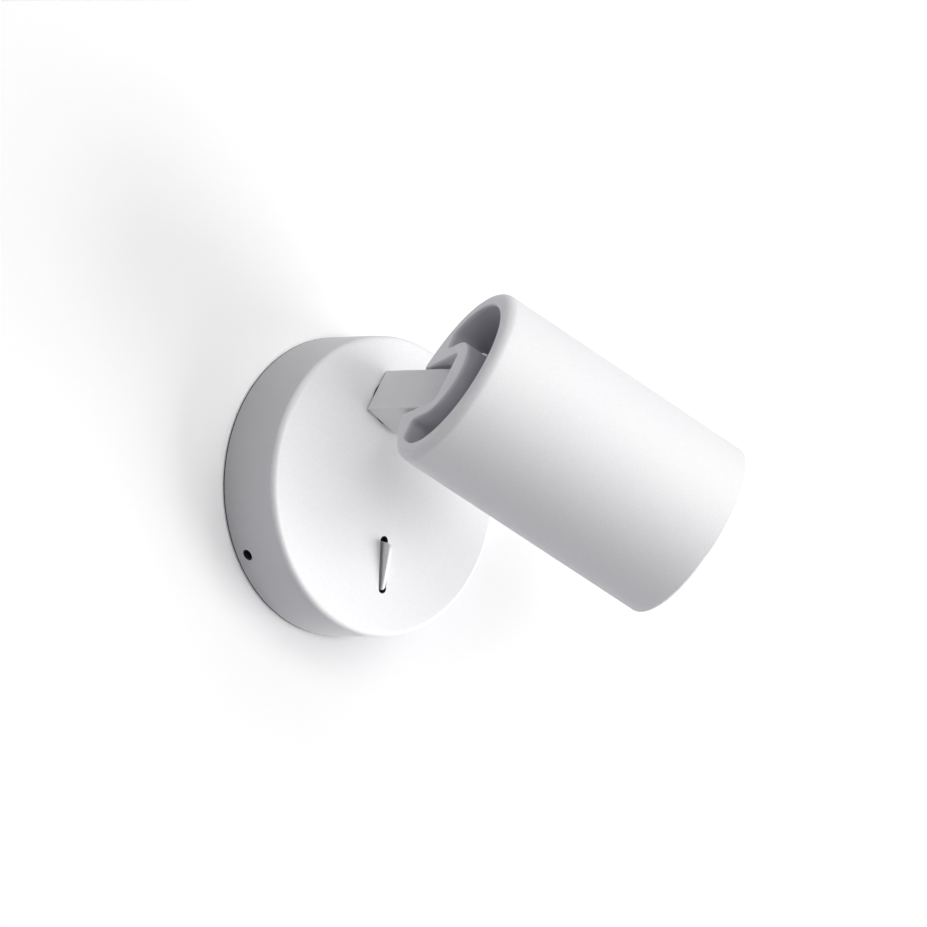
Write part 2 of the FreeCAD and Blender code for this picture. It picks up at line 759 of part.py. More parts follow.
def head_casing():
    """Cylinder with a solid rear block around the slot and an open front."""
    casing = rod(head_r, 0, head_length)
    casing = casing.makeFillet(rear_edge_r, edges_where(casing, lambda c, e: abs(c.z) < 0.01))
    front = edges_where(casing, lambda c, e: abs(c.z - head_length) < 0.01)
    casing = casing.makeFillet(min(front_edge_r, head_wall * 0.8), front)
    casing = casing.cut(rod(casing_bore_r, chamber_start, head_length))
    casing = casing.cut([vent(), arm_slot()])
    lips = edges_where(casing, lambda c, e: abs(c.z) < 0.01 and abs(e.BoundBox.ZLength) < 0.01
                       and e.BoundBox.DiagonalLength > rear_lip_r * 4 and not outer_edge(e))
    casing = casing.makeFillet(rear_lip_r, lips)
    for side in (-1, 1):
        boss_y = side * boss_at
        casing = casing.fuse(rod(boss_r, slot_depth, baffle_seat, 0, boss_y))
    for side in (-1, 1):
        boss_y = side * boss_at
        casing = casing.cut(rod(m3_tap_r, baffle_seat - boss_bore_depth, baffle_seat, 0, boss_y))
    casing = casing.cut(tilt_bores())
    casing = casing.cut(rod(grommet_hole_r, slot_depth, chamber_start, grommet_at, 0))
    return casing.removeSplitter()


def outer_edge(edge):
    """True for the edge between the flat of the rear face and its outer rounding."""
    return all(math.hypot(v.X, v.Y) > vent_r + rear_lip_r for v in edge.Vertexes)


# --- inside the head --------------------------------------------------------
def grommet():
    """Spool-shaped grommet in the floor of the slot."""
    body = rod(grommet_flange_r, slot_depth - grommet_flange, slot_depth)
    body = body.fuse(rod(grommet_hole_r - running_gap, slot_depth, chamber_start))
    body = body.fuse(rod(grommet_flange_r, chamber_start, chamber_start + grommet_flange))
    bore = rod(grommet_bore_r, slot_depth - grommet_flange, chamber_start + grommet_flange)
    body = body.cut(bore)
    body.translate(X * grommet_at)
    return body


def baffle():
    """Heat shield behind the lamp holder: a disc with two ears, so that air passes its sides."""
    half = bracket_width / 2
    ears = rod(disc_r, baffle_seat, bracket_seat)
    ears = ears.common(block(-half, half, -disc_r, disc_r, baffle_seat, bracket_seat))
    shield = ears.fuse(rod(baffle_r, baffle_seat, bracket_seat)).removeSplitter()
    holes = [rod(grommet_hole_r, baffle_seat, bracket_seat, grommet_at, 0)]
    for side in (-1, 1):
        holes.append(rod(m3_r + hole_gap, baffle_seat, bracket_seat, 0, side * boss_at))
    return shield.cut(holes)


def holder_bracket():
    """Strap across the casing that carries the lamp holder."""
    strap = rod(disc_r, bracket_seat, holder_seat)
    half = bracket_width / 2
    strap = strap.common(block(-half, half, -disc_r, disc_r, bracket_seat, holder_seat))
    reaches = (boss_at, holder_screw_reach, head_earth_reach)
    for reach in reaches:
        for side in (-1, 1):
            strap = strap.cut(rod(m3_r + thread_gap, bracket_seat, holder_seat, 0, side * reach))
    return strap


def bracket_screws():
    """Screws that clamp the strap and the heat shield to the bosses."""
    tip = baffle_seat - boss_bore_depth + seat_gap
    radius = m3_tap_r - thread_gap
    return [m3_screw(tip, holder_seat, 0, side * boss_at, radius) for side in (-1, 1)]


def lamp_holder():
    """Ceramic holder with two keyed pin holes."""
    body = centred_block((0, 0), holder_size, holder_seat)
    corners = edges_where(body, lambda c, e: abs(c.z - (holder_seat + lamp_seat) / 2) < 0.01)
    body = body.makeFillet(holder_corner_r, corners)
    for side in (-1, 1):
        pin_y = side * pin_reach
        screw_y = side * holder_screw_reach
        well_floor = lamp_seat - holder_screw_well_depth
        body = body.cut(rod(pin_head_r + pin_hole_gap, lamp_seat - pin_hole_depth, lamp_seat, 0, pin_y))
        body = body.cut(rod(m3_r + hole_gap, holder_seat, lamp_seat, 0, screw_y))
        body = body.cut(rod(holder_screw_well_r, well_floor, lamp_seat, 0, screw_y))
    return body


def holder_screws():
    """Screws that hold the lamp holder to the strap."""
    seat = lamp_seat - holder_screw_well_depth
    tip = bracket_seat
    return [m3_screw(tip, seat, 0, side * holder_screw_reach) for side in (-1, 1)]


def head_earth_screws():
    """Earth screws on the strap, one either side of the lamp holder."""
    return [m3_screw(bracket_seat, holder_seat, 0, side * head_earth_reach) for side in (-1, 1)]


def lamp_pins():
    """Two headed contact pins of the lamp."""
    pins = []
    for side in (-1, 1):
        tip = lamp_seat - pin_length
        neck = rod(pin_neck_r, tip + pin_head_length, lamp_seat, 0, side * pin_reach)
        pins.append(neck.fuse(rod(pin_head_r, tip, tip + pin_head_length, 0, side * pin_reach)))
    return pins


def lamp_body():
    """Reflector lamp: neck, flared body and a dish behind the lens."""
    rim_r = lamp_front_r - lamp_rim
    dish_mouth = lamp_end - lens_thickness
    return turned([
        (0, lamp_seat),
        (lamp_base_r, lamp_seat),
        (lamp_base_r, lamp_seat + lamp_base_length),
        (lamp_front_r, lamp_end - lamp_front_length),
        (lamp_front_r, lamp_end),
        (rim_r, lamp_end),
        (rim_r, dish_mouth),
        (rim_r - lamp_rim, dish_mouth),
        (reflector_root_r, dish_mouth - reflector_depth),
        (0, dish_mouth - reflector_depth),
    ])


def lamp_led():
    """Light source on the floor of the dish."""
    start = lamp_end - lens_thickness - reflector_depth
    return rod(reflector_root_r - led_gap, start, start + led_thickness)


def lamp_lens():
    """Flat front lens."""
    return rod(lamp_front_r - lamp_rim - lens_gap, lamp_end - lens_thickness, lamp_end)


def front_ring():
    """Flared ring screwed into the casing, which keeps the lamp in its holder."""
    outer_r = casing_bore_r - front_ring_gap
    front = lamp_end + front_ring_length
    return turned([
        (lamp_front_r - front_ring_cover, lamp_end),
        (outer_r, lamp_end),
        (outer_r, front),
        (outer_r - front_ring_lip, front),
    ])


def at_tilt_axis(solid):
    """Move a piece modelled about the y axis to the tilt axis of the arm frame."""
    copy = solid.copy()
    copy.translate(Z * pivot_reach)
    return copy


def pair_at_tilt_axis(solid):
    """The piece on both sides of the arm."""
    return [at_tilt_axis(solid), at_tilt_axis(mirrored_y(solid))]


os.makedirs("parts", exist_ok=True)

save("wall_cover", wall_frame, wall_cover())
save("mounting_plate", wall_frame, mounting_plate())
save("cover_grub_screws", wall_frame, *[radial(grub_screw(), angle) for angle in grub_screw_angles])
save("terminal_block", wall_frame, terminal_block())
save("terminal_tubes", wall_frame, *terminal_tubes())
save("terminal_screws", wall_frame, *terminal_screws())
save("terminal_block_screws", wall_frame, *terminal_block_screws())
save("earth_washer", wall_frame, earth_washer())
save("earth_screw", wall_frame, earth_screw())
save("cable_clamp", wall_frame, cable_clamp())
save("cable_clamp_screws", wall_frame, *cable_clamp_screws())
save("switch_housing", wall_frame, switch_housing())
save("switch_screws", wall_frame, *switch_screws())
save("switch_blades", wall_frame, *switch_blades())
save("switch_lever", lever_frame, switch_lever())
save("swivel_bush", wall_frame, swivel_bush())
save("swivel_stop_pin", wall_frame, stop_pin())
save("swivel_outer_washer", wall_frame, outer_washer())
save("swivel_stem", arm_frame, swivel_stem())
save("swivel_stop_disc", arm_frame, stop_disc())
save("swivel_spring_washer", arm_frame, swivel_spring())
save("swivel_nut", arm_frame, swivel_nut())
save("stem_sleeve", arm_frame, stem_sleeve())
save("arm_bar", arm_frame, arm_bar())
save("tilt_screws", arm_frame, *pair_at_tilt_axis(tilt_screw()))
save("tilt_spring_washers", arm_frame, *pair_at_tilt_axis(tilt_spring()))
save("tilt_bushes", tilt_frame, tilt_bush(), mirrored_y(tilt_bush()))
save("tilt_friction_washers", tilt_frame, friction_washer(), mirrored_y(friction_washer()))
save("head_casing", head_frame, head_casing())
save("head_grommet", head_frame, grommet())
save("heat_shield", head_frame, baffle())
save("lamp_holder_bracket", head_frame, holder_bracket())
save("bracket_screws", head_frame, *bracket_screws())
save("lamp_holder", head_frame, lamp_holder())
save("lamp_holder_screws", head_frame, *holder_screws())
save("head_earth_screws", head_frame, *head_earth_screws())
save("lamp_pins", head_frame, *lamp_pins())
save("lamp_body", head_frame, lamp_body())
save("lamp_led", head_frame, lamp_led())
save("lamp_lens", head_frame, lamp_lens())
save("lamp_front_ring", head_frame, front_ring())
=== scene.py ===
# %% [markdown]
# # A pivoting spotlight wall light
# The light is a round wall cover with a flat switch lever, a square arm that swivels on the
# cover, and a cylindrical lamp head that tilts on the end of the arm. The construction comes
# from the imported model. Here it gets its finishes, its small turned and moulded pieces, a wall
# to hang on, studio light and the camera.
#
# The model is loaded first. Its nodes are already in metres and in place, so every new piece
# only has to be put where the construction says.

# %% Load the frame
import json
from math import atan2, cos, pi, radians, sin, sqrt

import bmesh
import bpy
from mathutils import Matrix, Vector


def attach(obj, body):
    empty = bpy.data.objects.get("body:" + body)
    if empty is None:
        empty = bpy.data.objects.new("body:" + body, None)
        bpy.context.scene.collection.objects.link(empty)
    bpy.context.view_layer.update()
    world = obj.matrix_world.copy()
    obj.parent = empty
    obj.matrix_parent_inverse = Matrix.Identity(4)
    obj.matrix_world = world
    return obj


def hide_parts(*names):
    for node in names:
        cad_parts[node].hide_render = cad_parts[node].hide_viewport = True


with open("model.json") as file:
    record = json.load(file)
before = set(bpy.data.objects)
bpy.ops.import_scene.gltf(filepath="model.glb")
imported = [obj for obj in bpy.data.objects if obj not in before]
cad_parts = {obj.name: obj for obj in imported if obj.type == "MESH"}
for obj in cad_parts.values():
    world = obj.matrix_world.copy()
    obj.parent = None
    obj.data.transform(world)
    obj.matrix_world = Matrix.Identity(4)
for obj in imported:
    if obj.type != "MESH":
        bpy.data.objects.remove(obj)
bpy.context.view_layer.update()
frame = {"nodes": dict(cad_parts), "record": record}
nodes = frame["nodes"]

# %% [markdown]
# ## Camera
# The photograph was taken with a long lens from the light's left and a little below, with the
# camera rolled two degrees. These angles and the distance were solved from the edges of the
# cover, the arm and the head. The camera aims at the middle of the picture, which is a little
# to the right of the centre of the cover, so the lens needs no shift.

# %% Camera
MM = 0.001
PICTURE = 927
FOCAL_PIXELS = 5613
AIM_RIGHT, AIM_UP = 127.8, 23.25       # of the centre of the cover, in pixels
CAMERA_DISTANCE = 2.066
azimuth, elevation, roll = radians(-42.069), radians(-2.445), radians(2.260)
back = Vector((sin(azimuth) * cos(elevation), -cos(azimuth) * cos(elevation), sin(elevation)))
level_right = (-back).cross(Vector((0, 0, 1))).normalized()
level_up = level_right.cross(-back)
right = level_right * cos(roll) + level_up * sin(roll)
up = level_up * cos(roll) - level_right * sin(roll)
aim = -back + (right * AIM_RIGHT + up * AIM_UP) / FOCAL_PIXELS
axis_z = -aim.normalized()
axis_x = up.cross(axis_z).normalized()
axis_y = axis_z.cross(axis_x)

bpy.ops.object.select_all(action="DESELECT")
bpy.ops.object.camera_add(location=back * CAMERA_DISTANCE)
camera = bpy.context.object
camera.name = "studio_camera"
camera.rotation_euler = Matrix((axis_x, axis_y, axis_z)).transposed().to_euler()
camera.data.sensor_width = 36.0
camera.data.lens = FOCAL_PIXELS / PICTURE * camera.data.sensor_width
camera.data.clip_end = 20.0
bpy.context.scene.camera = camera
print("camera at", [round(c, 3) for c in camera.location], "lens", round(camera.data.lens, 1))

# %% [markdown]
# ## Wall, floor and light
# The light hangs on a plain white wall. The wall is a large flat ring of one surface: its hole
# is hidden behind the cover, and lets light reach the back of the mounting plate. It can be
# seen through from behind, so that the back of the light can be looked at. A pale floor lies
# 1.5 m below, as such a light hangs over a floor.
#
# A white wall and a white object part only by shade. So the camera sees a very white paint with
# a little glow, and the light that the wall sends back to the object is that of a greyer paint.
# That whitens the wall without putting more light on the object, and its soft shadow stays.

# %% A helper that adds a node
def add(tree, kind, inputs={}, **settings):
    """Add a node. An input is given a value, or the socket that feeds it."""
    made = tree.nodes.new(kind)
    for name, value in settings.items():
        setattr(made, name, value)
    for name, value in inputs.items():
        if isinstance(value, bpy.types.NodeSocket):
            tree.links.new(value, made.inputs[name])
        else:
            made.inputs[name].default_value = value
    return made


def calc(tree, operation, first, second):
    """Add a Math node and give its result."""
    return add(tree, "ShaderNodeMath", {0: first, 1: second}, operation=operation).outputs[0]


def blend(tree, factor, first, second):
    """Add a colour Mix node and give its result."""
    return add(tree, "ShaderNodeMix", {0: factor, 6: first, 7: second},
               data_type="RGBA").outputs[2]


def spread(tree, value, low, high, to_low=0.0, to_high=1.0):
    """Add a Map Range node and give its result."""
    return add(tree, "ShaderNodeMapRange", {
        "Value": value, "From Min": low, "From Max": high, "To Min": to_low,
        "To Max": to_high}).outputs["Result"]


def linear(code):
    """Turn an sRGB hex colour into the linear values that the shaders work in."""
    parts = [int(code[i:i + 2], 16) / 255 for i in (1, 3, 5)]
    parts = [p / 12.92 if p <= 0.04045 else ((p + 0.055) / 1.055) ** 2.4 for p in parts]
    return (*parts, 1.0)


def new_finish(name):
    """An empty material and its node tree."""
    material = bpy.data.materials.new(name)
    material.use_nodes = True
    material.node_tree.nodes.clear()
    return material, material.node_tree


def close_finish(material, tree, inputs):
    """End a finish with a Principled shader of these inputs."""
    skin = add(tree, "ShaderNodeBsdfPrincipled", inputs)
    add(tree, "ShaderNodeOutputMaterial", {"Surface": skin.outputs[0]})
    return material


def seen_directly(tree):
    """1 for what the camera, mirrors and glass see, and 0 for light on its way elsewhere."""
    path = add(tree, "ShaderNodeLightPath")
    seen = calc(tree, "MAXIMUM", path.outputs["Is Camera Ray"], path.outputs["Is Glossy Ray"])
    return calc(tree, "MAXIMUM", seen, path.outputs["Is Transmission Ray"])


# %% The wall's and the floor's paint
def stage_paint(name, code, bounce_code, glow, see_through):
    """Matt emulsion that only the camera, mirrors and glass see at its whitest."""
    material, tree = new_finish(name)
    seen = seen_directly(tree)
    light = add(tree, "ShaderNodeEmission", {"Color": linear("#FFFFFF"),
                                             "Strength": calc(tree, "MULTIPLY", seen, glow)})
    colour = blend(tree, seen, linear(bounce_code), linear(code))
    paint = add(tree, "ShaderNodeBsdfDiffuse", {"Color": colour, "Roughness": 0.9})
    shown = add(tree, "ShaderNodeAddShader", {0: paint.outputs[0], 1: light.outputs[0]})
    if see_through:
        side = add(tree, "ShaderNodeNewGeometry")
        clear = add(tree, "ShaderNodeBsdfTransparent")
        shown = add(tree, "ShaderNodeMixShader", {
            0: side.outputs["Backfacing"], 1: shown.outputs[0], 2: clear.outputs[0]})
    add(tree, "ShaderNodeOutputMaterial", {"Surface": shown.outputs[0]})
    return material


wall_paint = stage_paint("matt_white_wall_paint", "#F6F6F6", "#B4B4B8", 0.14, True)
floor_paint = stage_paint("matt_pale_floor_paint", "#E6E6E6", "#B4B4B8", 0.25, False)

# %% The wall and the floor
WALL_GAP = 0.2 * MM
HOLE_R = 50 * MM
WALL_GROWTH = 40
FLOOR_DEPTH = 1.5


def fresh(name, primitive, **size):
    """Add one primitive with nothing else selected, and name it."""
    bpy.ops.object.select_all(action="DESELECT")
    primitive(**size)
    piece = bpy.context.object
    piece.name = piece.data.name = name
    return piece


wall = fresh("studio_wall", bpy.ops.mesh.primitive_circle_add, vertices=96, radius=HOLE_R)
bpy.ops.object.mode_set(mode="EDIT")
bpy.ops.mesh.extrude_region_move()
bpy.ops.transform.resize(value=(WALL_GROWTH, WALL_GROWTH, 1), center_override=(0, 0, 0))
bpy.ops.object.mode_set(mode="OBJECT")
wall.matrix_world = Matrix.Translation((0, WALL_GAP, 0)) @ Matrix.Rotation(pi / 2, 4, "X")
bpy.ops.object.transform_apply(location=True, rotation=True, scale=True)
if wall.data.polygons[0].normal.y > 0:
    wall.data.flip_normals()
wall.data.materials.append(wall_paint)

floor = fresh("studio_floor", bpy.ops.mesh.primitive_plane_add, size=6.0,
              location=(0, 0, -FLOOR_DEPTH))
bpy.ops.object.transform_apply(location=True)
floor.data.materials.append(floor_paint)
print("wall normal", tuple(round(c) for c in wall.data.polygons[0].normal), "floor",
      FLOOR_DEPTH, "m below")

# %% [markdown]
# A little light comes from the air of the room, which is slightly cool and colours the shade.
# Three large softboxes give the rest. Two of about the same power stand in front and above: the
# right one models the head, and the left one fills. The strongest stands low on the right: it
# shines in under the head, so the face of the cover stays bright, and throws the arm's and the
# cover's soft shadows up to the left. The cover's left side and the lower left of the head stay
# in shade.

# %% Lamps and world
def softbox(name, place, target, size, power):
    """A square lamp at a place, turned to a target."""
    bpy.ops.object.select_all(action="DESELECT")
    bpy.ops.object.light_add(type="AREA", location=place)
    lamp = bpy.context.object
    lamp.name = name
    lamp.data.shape = "SQUARE"
    lamp.data.size = size
    lamp.data.energy = power
    lamp.rotation_euler = (Vector(target) - Vector(place)).to_track_quat("-Z", "Y").to_euler()
    return lamp


LAMP_DISTANCE = 2.0
LAMP_SIZE = 1.3
middle = Vector((0.02, -0.06, 0.0))
for name, towards, power in (("high_softbox", (0.35, -0.80, 0.48), 18.0),
                             ("left_softbox", (-0.30, -0.90, 0.30), 16.0),
                             ("low_softbox", (0.75, -0.54, -0.40), 43.0)):
    place = middle + Vector(towards).normalized() * LAMP_DISTANCE
    softbox(name, place, middle, LAMP_SIZE, power)

world = bpy.data.worlds.new("studio_air")
world.use_nodes = True
bpy.context.scene.world = world
air = world.node_tree
air.nodes.clear()
direct = seen_directly(air)
sky = add(air, "ShaderNodeBackground", {
    "Color": blend(air, direct, linear("#F7F7FF"), linear("#FFFFFF")),
    "Strength": spread(air, direct, 0.0, 1.0, 0.09, 1.0)})
add(air, "ShaderNodeOutputWorld", {"Surface": sky.outputs[0]})

bpy.context.scene.view_settings.view_transform = "Standard"

# %% [markdown]
# ## Working frames
# The construction has three working frames: the wall's, the arm's and the head's. The arm is
# turned 30.8 degrees on the cover, and the head is tilted 70.2 degrees on the arm. The switch
# lever leans 11.4 degrees in a frame of its own. The sizes are the construction's, in mm.

# %% Working frames
SWIVEL, TILT, LEVER_LEAN = radians(-30.8), radians(70.2), radians(11.4)
ARM_RISE = 30.5            # centre of the arm's swivel above the centre of the cover
TILT_AXLE = 68.0           # from the wall
HEAD_BACK = (-12.7, 0, -13.7)          # rear face of the head from the tilt axle
SWITCH_DROP = 28.6         # centre of the switch slot below the centre of the cover
SLOT_R, SLOT_HEIGHT = 1.8, 20.9
LEVER_AXLE = 25.0          # from the wall
SET_SCREW_HEIGHT = 6.8     # from the wall
SET_SCREW_ANGLES = (("left", 210), ("right", 330))
SET_SCREW_HOLE_R = 2.1
HEAD_BORE_R = 32.6


def shift(x, y, z):
    """A move in mm."""
    return Matrix.Translation((x * MM, y * MM, z * MM))


wall_frame = Matrix.Rotation(pi / 2, 4, "X")
arm_frame = wall_frame @ shift(0, ARM_RISE, 0) @ Matrix.Rotation(SWIVEL, 4, "Z")
axle_frame = arm_frame @ shift(0, 0, TILT_AXLE)
head_frame = axle_frame @ Matrix.Rotation(TILT, 4, "Y") @ shift(*HEAD_BACK)
lever_frame = wall_frame @ shift(0, -SWITCH_DROP, LEVER_AXLE) @ Matrix.Rotation(LEVER_LEAN, 4, "X")
print("head rear face at", [round(c * 1000, 1) for c in head_frame.translation])
print("lever axle at", [round(c * 1000, 1) for c in lever_frame.translation])

# %% [markdown]
# ## Finishes
# Each finish starts from what the real one is. The patterns read Object coordinates, which are
# metres here, so a noise of scale 1 / size has features of that size.
#
# **White powder coating** covers the cover, the arm, the head and the front ring. It is sprayed
# as dry powder and baked, which leaves a matt skin with a fine grain and, under it, a slow
# orange peel. The real grain of about 0.15 mm is too fine for the picture, so it is drawn at
# 0.4 mm, with 4% of light and dark in it.
#
# The photograph shows the head's vent and slot greyer than the rest, and the cover's rim at the
# wall, its switch slot and its set screw hole dark. This is shade, and it is painted into the
# coat: a greyer colour inside the head, and a near-black one on the rim, in the slot and in the
# holes, chosen to match the photograph. Charged powder hardly reaches into a deep recess, and
# edges and holes can be masked from it, so a thin or missing coat may be the cause. That is a
# guess, and the colours there are chosen to match the photograph. The inside of the head is
# found in the head's own frame, which a Mapping node gives. The painted dark rim draws the
# shadow line between the cover and the wall.

# %% Where shade is painted into the coat
REAR_FADE, MOUTH_FADE = (0.2, 2.0), (98, 88)       # from the rear face of the head
RIM_FADE = (1.05, 0.95)    # from the wall
SLOT_FADE, HOLE_FADE = (0.06, 0.01), (0.1, 0.02)   # out from the slot's and the hole's wall
HOLE_START = 40            # from the axis of the cover


def vector_step(tree, operation, first, second=(0, 0, 0)):
    """Add a Vector Math node and give its result, a number or a vector."""
    made = add(tree, "ShaderNodeVectorMath", {0: first, 1: second}, operation=operation)
    return made.outputs["Value" if operation in ("LENGTH", "DOT_PRODUCT") else "Vector"]


def painted_recess_shade(tree, place):
    """Where shade is painted: 1 inside the head, away from its rear face and its mouth, and 0
    outside.
    """
    turned = add(tree, "ShaderNodeMapping", {
        "Vector": place, "Location": head_frame.translation, "Rotation": head_frame.to_euler()},
        vector_type="TEXTURE")
    depth = add(tree, "ShaderNodeSeparateXYZ", {0: turned.outputs[0]}).outputs["Z"]
    across = vector_step(tree, "MULTIPLY", turned.outputs[0], (1, 1, 0))
    radius = vector_step(tree, "LENGTH", across)
    mask = spread(tree, radius, (HEAD_BORE_R + 1) * MM, HEAD_BORE_R * MM)
    for begin, end in (REAR_FADE, MOUTH_FADE):
        mask = calc(tree, "MULTIPLY", mask, spread(tree, depth, begin * MM, end * MM))
    return mask


def painted_rim_slot_hole_shade(tree, place):
    """Where shade is painted: 1 on the cover's rim, in its switch slot and in its set screw holes,
    and 0 elsewhere.
    """
    height = add(tree, "ShaderNodeSeparateXYZ", {0: place}).outputs["Y"]
    mask = spread(tree, height, -RIM_FADE[0] * MM, -RIM_FADE[1] * MM)
    slot = place
    for operation, vector in (("ADD", (0, 0, SWITCH_DROP * MM)), ("ABSOLUTE", (0, 0, 0)),
                              ("SUBTRACT", (0, 0, (SLOT_HEIGHT / 2 - SLOT_R) * MM)),
                              ("MAXIMUM", (0, 0, 0)), ("MULTIPLY", (1, 0, 1)),
                              ("LENGTH", (0, 0, 0))):
        slot = vector_step(tree, operation, slot, vector)
    slot = spread(tree, slot, *((SLOT_R + out) * MM for out in SLOT_FADE))
    mask = calc(tree, "MAXIMUM", slot, mask)
    level = vector_step(tree, "ADD", place, (0, SET_SCREW_HEIGHT * MM, 0))
    for side, angle in SET_SCREW_ANGLES:
        axis = (cos(radians(angle)), 0, sin(radians(angle)))
        radius = vector_step(tree, "LENGTH", vector_step(tree, "CROSS_PRODUCT", level, axis))
        along = vector_step(tree, "DOT_PRODUCT", level, axis)
        hole = spread(tree, radius, *((SET_SCREW_HOLE_R + out) * MM for out in HOLE_FADE))
        hole = calc(tree, "MULTIPLY", hole, calc(tree, "GREATER_THAN", along, HOLE_START * MM))
        mask = calc(tree, "MAXIMUM", hole, mask)
    return mask


# %% White powder coating
GRAIN_MM, PEEL_MM, TONE_MM = 0.4, 1.8, 35


def noise(tree, place, size_mm, detail, roughness=0.5):
    """Noise with features of a size, from 0 to 1."""
    return add(tree, "ShaderNodeTexNoise", {
        "Vector": place, "Scale": 1 / (size_mm * MM), "Detail": detail,
        "Roughness": roughness}).outputs["Fac"]


def powder_coating(name, code, shade_code, painted_shade_mask=None, painted_shade_colour=None):
    """Matt baked powder: fine grain over a soft orange peel, with a painted shade colour where a
    mask is given.
    """
    material, tree = new_finish(name)
    place = add(tree, "ShaderNodeTexCoord").outputs["Object"]
    grain = noise(tree, place, GRAIN_MM, 2.0, 0.6)
    peel = noise(tree, place, PEEL_MM, 1.0)
    colour = blend(tree, noise(tree, place, TONE_MM, 2.0), linear(code), linear(shade_code))
    speck = spread(tree, grain, 0.35, 0.65, 0.96, 1.035)
    colour = add(tree, "ShaderNodeVectorMath", {0: colour, "Scale": speck},
                 operation="SCALE").outputs["Vector"]
    # Where the mask is 1, the coat's colour gives way to a painted shade colour.
    if painted_shade_mask:
        colour = blend(tree, painted_shade_mask(tree, place), colour, linear(painted_shade_colour))
    waves = add(tree, "ShaderNodeBump", {"Height": peel, "Strength": 0.25,
                                         "Distance": 0.03 * MM})
    grains = add(tree, "ShaderNodeBump", {"Height": grain, "Strength": 0.35,
                                          "Distance": 0.02 * MM, "Normal": waves.outputs[0]})
    return close_finish(material, tree, {
        "Base Color": colour, "Roughness": spread(tree, grain, 0.0, 1.0, 0.50, 0.66),
        "IOR": 1.5, "Normal": grains.outputs[0]})


coating = powder_coating("white_powder_coating", "#F2F2F2", "#EFEFF0")
coatings_with_painted_shade = {
    # The inside of the head gets a greyer colour, #CCCCD1: painted shade.
    "head_casing": powder_coating("white_powder_coating_painted_inside_shade", "#F2F2F2", "#EFEFF0",
                                  painted_recess_shade, "#CCCCD1"),
    # The cover's rim at the wall, its switch slot and its set screw holes get a near-black colour,
    # #26262A: painted shade.
    "wall_cover": powder_coating("white_powder_coating_painted_rim_shade", "#F2F2F2", "#EFEFF0",
                                 painted_rim_slot_hole_shade, "#26262A")}

# %% [markdown]
# **Moulded plastics** carry the texture of their mould, which is a fine even spark-eroded
# grain. ABS for the lever is harder and a little glossier than the nylon of the terminal block
# and the black PBT of the switch body and the bushes. Rubber is the same with more bump and no
# gloss.

# %% Moulded plastics and rubber
def moulded(name, code, roughness, ior, grain_mm, depth_mm):
    """A moulded skin: even colour with a mould grain of a real size."""
    material, tree = new_finish(name)
    place = add(tree, "ShaderNodeTexCoord").outputs["Object"]
    grain = noise(tree, place, grain_mm, 3.0)
    base = linear(code)
    deep = tuple(c * 0.93 for c in base[:3]) + (1.0,)
    bump = add(tree, "ShaderNodeBump", {"Height": grain, "Strength": 0.3,
                                        "Distance": depth_mm * MM})
    return close_finish(material, tree, {
        "Base Color": blend(tree, noise(tree, place, 9, 1.0), base, deep), "IOR": ior,
        "Roughness": spread(tree, grain, 0.0, 1.0, roughness - 0.06, roughness + 0.06),
        "Normal": bump.outputs[0]})


abs_lever = moulded("white_abs", "#F4F4F2", 0.42, 1.54, 0.3, 0.015)
nylon = moulded("natural_nylon", "#EAE7DC", 0.48, 1.53, 0.25, 0.02)
pbt = moulded("black_pbt", "#1B1C1E", 0.45, 1.56, 0.25, 0.02)
rubber = moulded("black_silicone_rubber", "#151515", 0.78, 1.43, 0.6, 0.05)

# %% [markdown]
# **Zinc plating** on the pressed plate, screws and washers is bright but not polished: the
# passivated layer clouds in patches of a few millimetres, and the sheet keeps fine rolling
# lines. **Turned brass** shows fine rings from the lathe tool. Socket set screws are hardened and
# **blacked** in a hot bath of salts, which leaves the steel nearly black.

# %% Zinc-plated steel and turned brass
def plated(name, code, cloud_code, roughness, line_mm, cloud_mm):
    """A bright metal with clouded patches and fine tool lines."""
    material, tree = new_finish(name)
    place = add(tree, "ShaderNodeTexCoord").outputs["Object"]
    cloud = noise(tree, place, cloud_mm, 4.0, 0.6)
    stretched = add(tree, "ShaderNodeMapping", {"Vector": place, "Scale": (1.0, 1.0, 0.06)})
    lines = noise(tree, stretched.outputs[0], line_mm, 2.0)
    bump = add(tree, "ShaderNodeBump", {"Height": lines, "Strength": 0.25, "Distance": 0.01 * MM})
    return close_finish(material, tree, {
        "Base Color": blend(tree, cloud, linear(code), linear(cloud_code)), "Metallic": 1.0,
        "Roughness": spread(tree, cloud, 0.3, 0.7, roughness - 0.07, roughness + 0.1),
        "Normal": bump.outputs[0]})


blacked = plated("black_oxide_steel", "#2A2B2E", "#1F2023", 0.42, 0.15, 3.0)
zinc = plated("zinc_plated_steel", "#C9CCD0", "#B6BAC2", 0.34, 0.15, 4.0)
brass = plated("turned_brass", "#D9B871", "#C9A35A", 0.28, 0.12, 6.0)

# %% [markdown]
# **Steatite** is the dense ceramic of lamp holders: cream, half glazed, with faint specks. The
# lamp's own body is a coated aluminium cone. Its lens is frosted **polycarbonate**, and the
# light source behind it is yellow **phosphor** over a grid of small chips.

# %% Ceramic, lamp shell, lens and phosphor
def speckled(name, code, speck_code, roughness, ior, speck_mm):
    """A fired or coated skin with faint specks."""
    material, tree = new_finish(name)
    place = add(tree, "ShaderNodeTexCoord").outputs["Object"]
    cells = add(tree, "ShaderNodeTexVoronoi", {
        "Vector": place, "Scale": 1 / (speck_mm * MM)}).outputs["Distance"]
    colour = blend(tree, spread(tree, cells, 0.10, 0.22), linear(speck_code), linear(code))
    bump = add(tree, "ShaderNodeBump", {"Height": cells, "Strength": 0.12, "Distance": 0.02 * MM})
    return close_finish(material, tree, {
        "Base Color": colour, "Roughness": roughness, "IOR": ior, "Normal": bump.outputs[0]})


